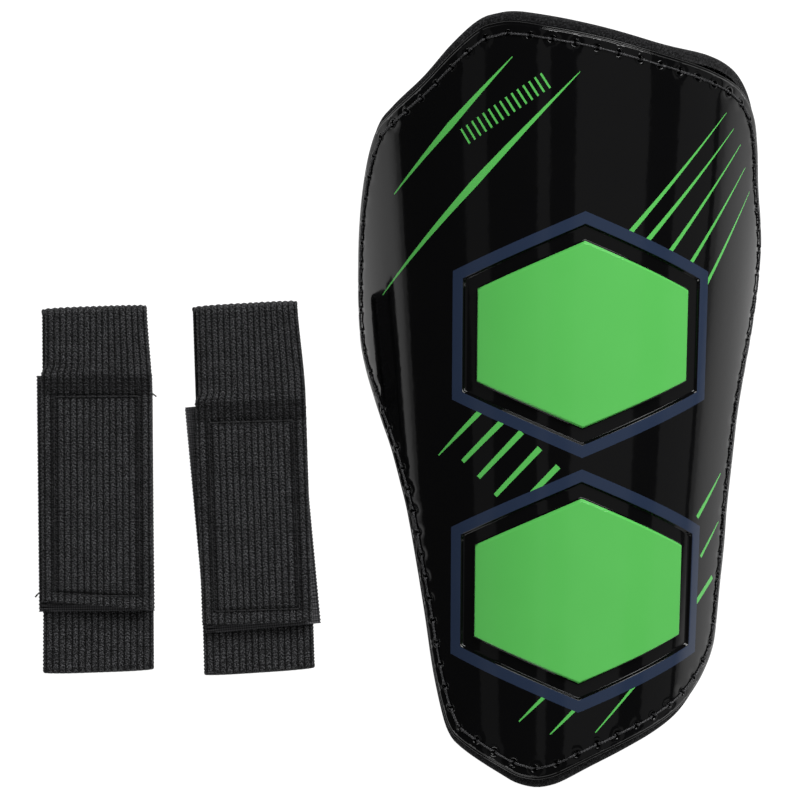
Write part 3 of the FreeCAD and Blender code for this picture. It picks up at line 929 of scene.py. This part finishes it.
def sink_seam(flat, unsettled, strap):
    """Gives the flap its sunk box seam, slanted cut end, ridge, hem and gentle waves."""
    x, y, z = flat.T
    outer = smoothstep(5.6, 6.3, z)
    end = smoothstep(strap["tab_end"] + 9.0, strap["tab_end"], y)
    sunk = 0.6 * box_groove(unsettled, strap) + 0.5 * step_down(flat[:, :2], strap)
    z -= outer * np.minimum(sunk, 0.9)
    y += end * (strap["end_slant"] * x / (0.5 * BAND_WIDTH) + strap["end_shift"])
    ridge = 0.5 * np.exp(-((y - strap["hook"][0] - 4.2) / 1.6) ** 2)
    hem = 0.35 * np.exp(-((y - strap["tab_end"] - 1.5) / 1.0) ** 2)
    z += outer * (ridge * (0.8 + 0.2 * np.sin(0.45 * x + 1.0)) + hem)
    z += 0.08 * np.sin(0.23 * y + 0.3 * x) * smoothstep(-0.5, 3.0, strap["hinge"] - y)


def placed(points, strap):
    """Strap points, moved from its own axes to where it lies."""
    points = np.asarray(points).reshape(-1, 3)
    x, y = turned(points[:, 0], points[:, 1], math.radians(strap["lean"]))
    return np.stack([x + strap["at"][0] + CENTRING[0], y + strap["at"][1] + CENTRING[1],
                     points[:, 2]], axis=1)


def strap_lines(strap):
    """The elastic's middle line from the tab's cut end to its inner end, and where it parts."""
    top, bottom = strap["top"] - 0.65, strap["bottom"] + 0.65
    line = Line(rounded([
        (strap["tab_end"], TOP_LEAF, 0.0), (strap["hinge"] + 4.0, TOP_LEAF, 8.0),
        (top - 1.0, 4.9, 1.6), (top, FLOOR_LEAF, 1.9), (bottom, FLOOR_LEAF, 1.5),
        (bottom, 4.0, 1.5), (bottom + strap["rise"], INNER_LEAF, 8.0),
        (strap["inner_end"], INNER_LEAF, 0.0)]))
    return line, line.run_where(lambda y, z: y > FLAP_START)


def build_elastic(name, strap, material):
    line, parting = strap_lines(strap)
    end = line.runs[-1]
    low = line.run_where(lambda y, z: z < 1.0 and y > 0)
    back_up = line.run_where(lambda y, z: z > 1.2 and y < 0, after=low)
    covered = back_up + 18.0
    folds = (line.run_where(lambda y, z: y > strap["top"] - 0.8),
             line.run_where(lambda y, z: y < strap["bottom"] + 0.8, after=low))

    def relief(across, run, side):
        taut = sum(np.exp(-((run - fold - 1.2) / 3.2) ** 2) for fold in folds)
        return knit_relief(across, run, side) * (1.0 - 0.85 * taut)

    stretches = {
        "flap": [(0.0, parting, 0.3)],
        "loop": [(parting, low, 0.3), (low, back_up, 0.5), (back_up, covered, 0.3),
                 (covered, end, 1.5)],
    }
    for part, stops in stretches.items():
        points, faces, cloth = strip(line, rows_between(stops), BAND_WIDTH, BAND_THICKNESS,
                                     (RIB_COUNT * 6 + 1, 26), relief, knit_scallop)
        # Painted shade: the flap's outer face is darkened where its seam sinks it; the loop piece
        # gets none.
        seam_shade = np.zeros(len(cloth))
        if part == "flap":
            seam_shade = painted_seam_shade(points.reshape(-1, 3)[:, :2], strap) * (cloth[:, 2] > 0.0)
        points = placed(settled(points, strap, part == "flap"), strap)
        body = None if part == "flap" else name
        piece = make_piece(name + "_elastic_" + part, points, faces, [material], body=body,
                           attributes={"cloth": cloth, "seam_shade": np.repeat(seam_shade, 3)}, crease=75.0)
        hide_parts(name + ("_tab" if part == "flap" else "_band"))
        if part == "flap":
            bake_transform(piece)


def tape_relief(across, run, side):
    """A tape's base: fine cross ribs at its two selvages, nearly flat between them."""
    edge = smoothstep(0.5 * BAND_WIDTH - 2.6, 0.5 * BAND_WIDTH - 1.9, np.abs(across))
    return edge * 0.16 * (np.cos(2.0 * math.pi * run / SELVAGE_PITCH) - 1.0) - 0.02


def build_tape(name, node, body, size, base, thickness, shift, turn, strap, material, fuzz):
    """A hook or loop tape: woven base with selvages, and its field of hooks or loops."""
    width, start, end = size
    line = Line(np.array([(end, 0.0), (start, 0.0)]))
    points, faces, cloth = strip(line, rows_between([(0.0, start - end, 0.33)]), width, thickness,
                                 (60, 20), tape_relief, knit_scallop, edge=0.3)
    points = points.reshape(-1, 3)
    points[:, 2] += base + 0.5 * thickness
    extra_points, extra_faces = fuzz
    extra_faces = [tuple(i + len(points) for i in face) for face in extra_faces]
    extra_cloth = np.column_stack([extra_points[:, :2], np.full(len(extra_points), 2.0)])
    points, faces = np.vstack([points, extra_points]), faces + extra_faces
    middle = 0.5 * (start + end)
    x, y = turned(points[:, 0], points[:, 1] - middle, math.radians(turn))
    points = np.stack([x + shift, y + middle, points[:, 2]], axis=1)
    piece = make_piece(name, placed(points, strap), faces, [material], body=body,
                       attributes={"cloth": np.vstack([cloth, extra_cloth])}, crease=60.0)
    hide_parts(node)
    return piece


def field_places(start, end, across, pitch):
    """Where each hook or loop of a tape stands: rows along the tape, and places across it."""
    rows = np.arange(end + FIELD_MARGIN, start - FIELD_MARGIN, pitch[1])
    return [(x, y) for y in rows for x in np.arange(*across, pitch[0])]


def hook_field(width, start, end, root, tip):
    """Rows of small nylon hooks that hang from root down to tip."""
    hooks = []
    drop = root - tip
    for x, y in field_places(start, end, (-0.5 * width + 2.6, 0.5 * width - 2.5), (1.25, 1.5)):
        facing = 1.0 if rng.random() < 0.5 else -1.0
        base = np.array([x + rng.uniform(-0.15, 0.15), y + rng.uniform(-0.15, 0.15), root])
        path = [base + np.array([0.0, facing * reach, -fall * drop]) for reach, fall in
                ((0.0, -0.1), (0.0, 0.55), (0.1, 0.88), (0.34, 1.0), (0.54, 0.8), (0.56, 0.55))]
        hooks.append(tube(path, [0.1, 0.1, 0.1, 0.1, 0.09, 0.06], 4))
    return joined(hooks)


def loop_field(width, start, end, root, tip):
    """A pile of soft thread loops that stand up from root to about tip."""
    loops = []
    for x, y in field_places(start, end, (-0.5 * width + 2.7, 0.5 * width - 2.6), (1.15, 1.15)):
        angle = rng.uniform(0.0, 2.0 * math.pi)
        way = np.array([math.cos(angle), math.sin(angle), 0.0])
        base = np.array([x + rng.uniform(-0.3, 0.3), y + rng.uniform(-0.3, 0.3), root])
        rise = (tip - root) * rng.uniform(0.7, 0.95)
        path = [base + way * reach + np.array([0.0, 0.0, rise * height])
                for reach, height in ((-0.35, -0.2), (-0.5, 0.5), (-0.15, 0.95),
                                      (0.3, 0.85), (0.5, 0.35), (0.35, -0.2))]
        loops.append(tube(path, 0.055, 3))
    return joined(loops)


def build_tapes(name, strap, hook_material, loop_material):
    start, end = strap["hook"]
    fuzz = hook_field(HOOK_WIDTH, start, end, HOOK_BASE + HOOK_ROOT, HOOK_BASE + HOOK_TIP)
    hook = build_tape(name + "_hook_tape", name + "_hook_patch", name + "_flap",
                      (HOOK_WIDTH, start, end), HOOK_BASE + 0.6, HOOK_THICKNESS, 0.0, 0.0, strap,
                      hook_material, fuzz)
    start, end, shift, turn = strap["loop"]
    fuzz = loop_field(LOOP_WIDTH, start, end, LOOP_BASE + LOOP_ROOT, LOOP_BASE + LOOP_TIP)
    loop = build_tape(name + "_loop_tape", name + "_loop_patch", name, (LOOP_WIDTH, start, end),
                      LOOP_BASE, LOOP_THICKNESS, shift, turn, strap, loop_material, fuzz)


def box_corners(width, start, end, shift=0.0, turn=0.0):
    """Corners of a tape's box of stitching, inset from its ends, and shifted and turned with it."""
    half, middle = 0.5 * width, 0.5 * (start + end)
    start, end = start - SEAM_MARGIN, end + SEAM_MARGIN
    corners = []
    for x, y in ((-half, start), (half, start), (half, end), (-half, end)):
        x, y = turned(x, y - middle, math.radians(turn))
        corners.append(np.array([x + shift, y + middle]))
    return corners


def box_stitches(corners, level, side, depth):
    """A rectangle of stitches at one level, facing up (side 1) or down (side -1)."""
    stitches = []
    normal = np.array([0.0, 0.0, side])
    for first, second in zip(corners, corners[1:] + corners[:1]):
        run = second - first
        count = int(round(np.linalg.norm(run) / BOX_STITCH_PITCH))
        for i in range(count):
            start = np.append(first + run * (i / count), level)
            end = np.append(first + run * ((i + 1) / count), level)
            path = stitch_path(start, end, normal, 0.12, depth)
            stitches.append(two_ply(path, BOX_PLY, BOX_TWIST, 5))
    return stitches


def thread_tail(root, tip):
    """A cut end of thread that lies loose on the tab."""
    root, tip = np.append(root, TAB_BASE + 0.3), np.append(tip, TAB_BASE + 0.1)
    bow = np.array([0.0, 0.35, 0.1])
    path = [root + (tip - root) * share + bow * math.sin(math.pi * share)
            for share in np.linspace(0.0, 1.0, 7)]
    return two_ply(np.array(path), TAIL_PLY, TAIL_TWIST, 5)


def seam_piece(name, node, body, stitches, strap, material):
    """A strap's stitches as one piece, in place of their CAD node."""
    points, faces = joined(stitches)
    seam = make_piece(name, placed(points, strap), faces, [material], body=body)
    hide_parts(node)


def build_strap_seams(name, strap, material):
    corners = box_corners(HOOK_SEAM_WIDTH, *strap["hook"])
    stitches = box_stitches(corners, TAB_TOP - 0.38, 1.0, 0.8)
    stitches += box_stitches(corners, HOOK_BASE + 0.56, -1.0, 0.4)
    stitches += [thread_tail(root, tip) for root, tip in strap["tails"]]
    seam_piece(name + "_hook_seam", name + "_hook_stitching", name + "_flap", stitches, strap,
               material)
    corners = box_corners(LOOP_SEAM_WIDTH, *strap["loop"])
    stitches = box_stitches(corners, LOOP_BASE + 0.68, 1.0, 0.5)
    stitches += box_stitches(corners, INNER_LEAF - 0.55, -1.0, 0.5)
    seam_piece(name + "_loop_seam", name + "_loop_stitching", name, stitches, strap, material)


# ---- materials -------------------------------------------------------------------------------

class Paint:
    """A Principled material and the few node set-ups that it is mixed from."""

    def __init__(self, name, **values):
        self.material = bpy.data.materials.new(name)
        self.material.use_nodes = True
        self.tree = self.material.node_tree
        self.shader = self.tree.nodes["Principled BSDF"]
        for label, value in values.items():
            self.shader.inputs[label.replace("_", " ")].default_value = value

    def node(self, kind, **settings):
        made = self.tree.nodes.new("ShaderNode" + kind)
        for key, value in settings.items():
            setattr(made, key, value)
        return made

    def feed(self, socket, value):
        if isinstance(value, (int, float, tuple)):
            socket.default_value = value
        else:
            self.tree.links.new(value, socket)

    def place(self, attribute=None):
        """Coordinates: a point attribute in millimetres, or the object's own in metres."""
        if attribute:
            return self.node("Attribute", attribute_name=attribute).outputs["Vector"]
        return self.node("TexCoord").outputs["Object"]

    def scaled(self, vector, scale, turn=0.0):
        made = self.node("Mapping")
        self.feed(made.inputs["Vector"], vector)
        made.inputs["Scale"].default_value = scale
        made.inputs["Rotation"].default_value = (0.0, 0.0, turn)
        return made.outputs["Vector"]

    def noise(self, vector, scale, detail=3.0, roughness=0.55):
        made = self.node("TexNoise")
        self.feed(made.inputs["Vector"], vector)
        made.inputs["Scale"].default_value = scale
        made.inputs["Detail"].default_value = detail
        made.inputs["Roughness"].default_value = roughness
        return made.outputs["Fac"]

    def waves(self, vector, scale, distortion=0.0, direction="X"):
        made = self.node("TexWave", bands_direction=direction)
        self.feed(made.inputs["Vector"], vector)
        made.inputs["Scale"].default_value = scale
        made.inputs["Distortion"].default_value = distortion
        return made.outputs["Fac"]

    def maths(self, operation, a, b=0.5):
        made = self.node("Math", operation=operation)
        self.feed(made.inputs[0], a)
        self.feed(made.inputs[1], b)
        return made.outputs[0]

    def between(self, value, low, high, to_low, to_high):
        made = self.node("MapRange")
        self.feed(made.inputs["Value"], value)
        for label, number in (("From Min", low), ("From Max", high),
                              ("To Min", to_low), ("To Max", to_high)):
            made.inputs[label].default_value = number
        return made.outputs["Result"]

    def colours(self, factor, first, second):
        made = self.node("Mix", data_type="RGBA")
        self.feed(made.inputs["Factor"], factor)
        made.inputs["A"].default_value = first + (1.0,)
        made.inputs["B"].default_value = second + (1.0,)
        self.tree.links.new(made.outputs["Result"], self.shader.inputs["Base Color"])

    def bump(self, height, strength, distance):
        made = self.node("Bump")
        self.feed(made.inputs["Height"], height)
        made.inputs["Strength"].default_value = strength
        made.inputs["Distance"].default_value = distance
        self.tree.links.new(made.outputs["Normal"], self.shader.inputs["Normal"])

    def roughness(self, value):
        self.tree.links.new(value, self.shader.inputs["Roughness"])


def gloss(name, colour, tint, low, high):
    """Polished moulded plastic: faint flow marks, hairline scratches and dust."""
    paint = Paint(name, IOR=1.36)
    flat = paint.place("flat")
    scratches = paint.noise(paint.scaled(flat, (6.0, 0.25, 1.0), 0.5), 1.0, 4.0, 0.7)
    cloud = paint.noise(flat, 0.06, 3.0)
    paint.colours(cloud, colour, tint)
    mixed = paint.maths("ADD", paint.between(cloud, 0.3, 0.7, low, high),
                        paint.between(scratches, 0.62, 0.8, 0.0, 0.1))
    paint.roughness(mixed)
    peel = paint.maths("ADD", paint.noise(flat, 0.35, 1.0), paint.maths("MULTIPLY", scratches, 0.04))
    paint.bump(peel, 0.12, 0.00012)
    return paint.material


def foam_cloth(name, first, second):
    """Black foam with a fine, fuzzy textile skin."""
    paint = Paint(name, Sheen_Weight=0.03, Specular_IOR_Level=0.12)
    flat = paint.place("flat")
    twill = paint.waves(paint.scaled(flat, (1.0, 1.0, 1.0), 0.8), 0.42, 5.0)
    grain = paint.noise(flat, 1.9, 4.0, 0.8)
    height = paint.maths("ADD", paint.maths("MULTIPLY", twill, 0.25),
                         paint.between(grain, 0.42, 0.62, 0.2, 1.3))
    paint.colours(paint.between(height, 0.5, 1.5, 0.0, 1.0), first, second)
    paint.roughness(paint.between(grain, 0.3, 0.7, 0.7, 0.95))
    paint.bump(height, 0.7, 0.00018)
    return paint.material


def thread_material(name, first, second):
    """Twisted polyester thread, its fibres catching the light here and there: these glints are
    painted into its colour as lighter specks.
    """
    paint = Paint(name, Sheen_Weight=0.03, Specular_IOR_Level=0.3)
    place = paint.place()
    fibres = paint.noise(place, 2800.0, 3.0, 0.8)
    # Painted glints: fibre specks lighten the thread's colour.
    paint.colours(paint.between(fibres, 0.48, 0.64, 0.0, 1.0), first, second)
    paint.roughness(paint.between(fibres, 0.3, 0.7, 0.38, 0.65))
    paint.bump(fibres, 0.6, 0.00006)
    return paint.material


def elastic_material():
    """Ribbed elastic: slanting knit loops on each rib, with painted shade in the rib valleys and
    between the loops, painted glints on bright fibres, and painted shade along the flap's seams.
    """
    paint = Paint("elastic_knit", Sheen_Weight=0.01, Specular_IOR_Level=0.1)
    cloth = paint.place("cloth")
    split = paint.node("SeparateXYZ")
    paint.feed(split.inputs[0], cloth)
    across, run = split.outputs[0], split.outputs[1]
    rib = paint.maths("FRACT", paint.maths("DIVIDE", across, RIB_PITCH))
    lean = paint.maths("ABSOLUTE", paint.maths("SUBTRACT", rib, 0.5))
    sway = paint.between(paint.noise(cloth, 0.9, 3.0), 0.3, 0.7, -0.4, 0.4)
    turn = paint.maths("ADD", paint.maths("DIVIDE", run, KNIT_PITCH),
                       paint.maths("MULTIPLY", lean, 1.3))
    turn = paint.maths("ADD", turn, sway)
    loops = paint.maths("COSINE", paint.maths("MULTIPLY", turn, 2.0 * math.pi))
    # Painted shade: the colour darkens to nothing in the valleys between the ribs.
    rib_valley_shade = paint.between(lean, 0.24, 0.47, 1.0, 0.0)
    fibres = paint.noise(cloth, 3.0, 3.0, 0.8)
    patches = paint.noise(cloth, 0.35, 2.0)
    # The colour carries painted light and shade: lighter on the loops' crests, darker between them
    # and in the rib valleys, with fibre specks painted bright as glints and a random patchy tone.
    lit = paint.maths("MULTIPLY", paint.between(loops, -0.8, 1.0, 0.4, 1.0), rib_valley_shade)
    lit = paint.maths("MULTIPLY", lit, paint.between(fibres, 0.46, 0.66, 0.0, 2.5))
    lit = paint.maths("MULTIPLY", lit, paint.between(patches, 0.3, 0.7, 0.6, 1.3))
    # Painted shade along the flap's seams: the colour falls to 0.15 of itself where this mask is 1.
    seam_shade = paint.node("Attribute", attribute_name="seam_shade").outputs["Fac"]
    lit = paint.maths("MULTIPLY", lit, paint.between(seam_shade, 0.0, 1.0, 1.0, 0.15))
    paint.colours(lit, (0.0012, 0.0012, 0.0014), (0.085, 0.086, 0.09))
    paint.roughness(paint.between(fibres, 0.35, 0.7, 0.85, 0.45))
    height = paint.maths("ADD", paint.maths("MULTIPLY", loops, 0.5), fibres)
    paint.bump(height, 1.0, 0.0003)
    return paint.material


def tape_material(name, first, second, low, high):
    """Nylon tape with a fine weave in its base."""
    paint = Paint(name, Sheen_Weight=0.03, Specular_IOR_Level=0.35)
    cloth = paint.place("cloth")
    weave = paint.maths("ADD", paint.waves(cloth, 0.5, 0.4, "Y"), paint.waves(cloth, 0.5, 0.4, "X"))
    fibres = paint.noise(cloth, 4.0, 3.0, 0.7)
    height = paint.maths("ADD", weave, fibres)
    paint.colours(paint.between(height, 0.8, 2.2, 0.0, 1.0), first, second)
    paint.roughness(paint.between(fibres, 0.3, 0.7, high, low))
    paint.bump(height, 0.6, 0.0001)
    return paint.material


def floor_material():
    """White paper, glowing near the object so that no shadow shows, and plainer farther off."""
    paint = Paint("paper", Roughness=0.9)
    paint.shader.inputs["Emission Color"].default_value = (1.0, 1.0, 1.0, 1.0)
    place = paint.place()
    away = paint.node("VectorMath", operation="LENGTH")
    paint.feed(away.inputs[0], place)
    glow = paint.between(away.outputs["Value"], *GLOW_REACH, *GLOW)
    paint.feed(paint.shader.inputs["Emission Strength"], glow)
    grain = paint.noise(place, 900.0, 2.0)
    paint.colours(grain, (0.11, 0.11, 0.11), (0.13, 0.13, 0.13))
    paint.bump(grain, 0.1, 0.00005)
    return paint.material


# ---- floor, lights and camera (in metres) ----------------------------------------------------

# The paper's glow: where it starts and stops fading, in metres from the middle, and how it fades.
GLOW_REACH = (0.16, 0.5)
GLOW = (1.0, 0.3)
FLOOR_HALF, FLOOR_POINTS = 3.0, 13
# Soft boxes: place, size and power.
SOFT_BOXES = {"key": ((0.75, 1.15, 1.2), (1.5, 0.9), 51.0),
              "fill": ((-0.9, -1.5, 0.8), (1.2, 0.8), 16.0)}
WORLD_LIGHT, WORLD_SEEN = 0.05, 1.0
# Dim panels that leave upright streaks on the shell: degrees from overhead, width, power.
STREAKS = [(28.0, 1.5, 1.8), (75.0, 0.9, 1.1), (-7.0, 0.25, 0.25), (-43.0, 0.5, 0.35)]
STREAK_REACH, STREAK_AT, STREAK_LENGTH = 2.2, -0.5, 1.6
CAMERA_AT = (-0.00042, 0.00069, 1.3)
LENS = 214.5


def build_floor():
    half = FLOOR_HALF / MM
    steps = np.linspace(-half, half, FLOOR_POINTS)
    points = [(x, y, 0.0) for y in steps for x in steps]
    floor = make_piece("floor", points, grid_faces(FLOOR_POINTS, FLOOR_POINTS), [floor_material()])


def area_light(name, place, size, power, aim=(0.0, 0.0, 0.0)):
    light = bpy.data.lights.new(name, "AREA")
    light.shape = "RECTANGLE"
    light.size, light.size_y = size
    light.energy = power
    made = bpy.data.objects.new(name, light)
    made.location = place
    made.rotation_euler = (Vector(aim) - Vector(place)).to_track_quat("-Z", "Y").to_euler()
    made.visible_camera = False
    bpy.context.scene.collection.objects.link(made)


def build_lights():
    for name, (place, size, power) in SOFT_BOXES.items():
        area_light(name, place, size, power)
    for bearing, width, power in STREAKS:
        turn = math.radians(bearing)
        place = (STREAK_REACH * math.sin(turn), STREAK_AT, STREAK_REACH * math.cos(turn))
        area_light("streak_%+03d" % bearing, place, (STREAK_LENGTH, width), power,
                   aim=(0.0, STREAK_AT, 0.0))


def build_world():
    """A white backdrop to the camera that gives the object only a little light."""
    world = bpy.data.worlds.new("studio")
    world.use_nodes = True
    tree = world.node_tree
    dim, bright = tree.nodes["Background"], tree.nodes.new("ShaderNodeBackground")
    for shader, strength in ((dim, WORLD_LIGHT), (bright, WORLD_SEEN)):
        shader.inputs["Color"].default_value = (1.0, 1.0, 1.0, 1.0)
        shader.inputs["Strength"].default_value = strength
    rays, chooser = tree.nodes.new("ShaderNodeLightPath"), tree.nodes.new("ShaderNodeMixShader")
    tree.links.new(rays.outputs["Is Camera Ray"], chooser.inputs[0])
    tree.links.new(dim.outputs[0], chooser.inputs[1])
    tree.links.new(bright.outputs[0], chooser.inputs[2])
    tree.links.new(chooser.outputs[0], tree.nodes["World Output"].inputs["Surface"])
    bpy.context.scene.world = world


def build_camera():
    camera = bpy.data.cameras.new("camera")
    camera.lens = LENS
    camera.sensor_width = 36.0
    made = bpy.data.objects.new("camera", camera)
    made.location = CAMERA_AT
    bpy.context.scene.collection.objects.link(made)
    bpy.context.scene.camera = made
    bpy.context.scene.view_settings.view_transform = "Standard"


def build_guard():
    black = gloss("shell_black", (0.0016, 0.0016, 0.0018), (0.0022, 0.0022, 0.0024), 0.05, 0.09)
    green = gloss("print_green", (0.09, 0.45, 0.086), (0.099, 0.475, 0.095), 0.1, 0.16)
    navy = gloss("print_navy", (0.016, 0.026, 0.053), (0.019, 0.03, 0.06), 0.12, 0.18)
    build_shell([black, green, navy])
    build_foam(foam_cloth("foam_skin", (0.001, 0.001, 0.0012), (0.034, 0.034, 0.036)))
    build_lining(foam_cloth("lining_knit", (0.004, 0.004, 0.005), (0.026, 0.026, 0.029)))
    thread = thread_material("black_thread", (0.002, 0.002, 0.0025), (0.09, 0.09, 0.095))
    seam_row("guard_stitches_front", 0.0, 1.0, 2.4, thread, "needle_thread")
    seam_row("guard_stitches_back", -LINING_BACK + SEAM_DENT, -1.0, 1.6, thread, "bobbin_thread")


def build_straps():
    elastic = elastic_material()
    hook = tape_material("hook_nylon", (0.004, 0.004, 0.005), (0.02, 0.02, 0.022), 0.25, 0.45)
    loop = tape_material("loop_nylon", (0.005, 0.005, 0.006), (0.05, 0.05, 0.054), 0.45, 0.75)
    thread = thread_material("strap_thread_black", (0.003, 0.003, 0.0035), (0.03, 0.03, 0.032))
    for name, strap in STRAPS.items():
        build_elastic(name, strap, elastic)
        build_tapes(name, strap, hook, loop)
        build_strap_seams(name, strap, thread)


build_guard()
build_straps()
build_floor()
build_lights()
build_world()
build_camera()
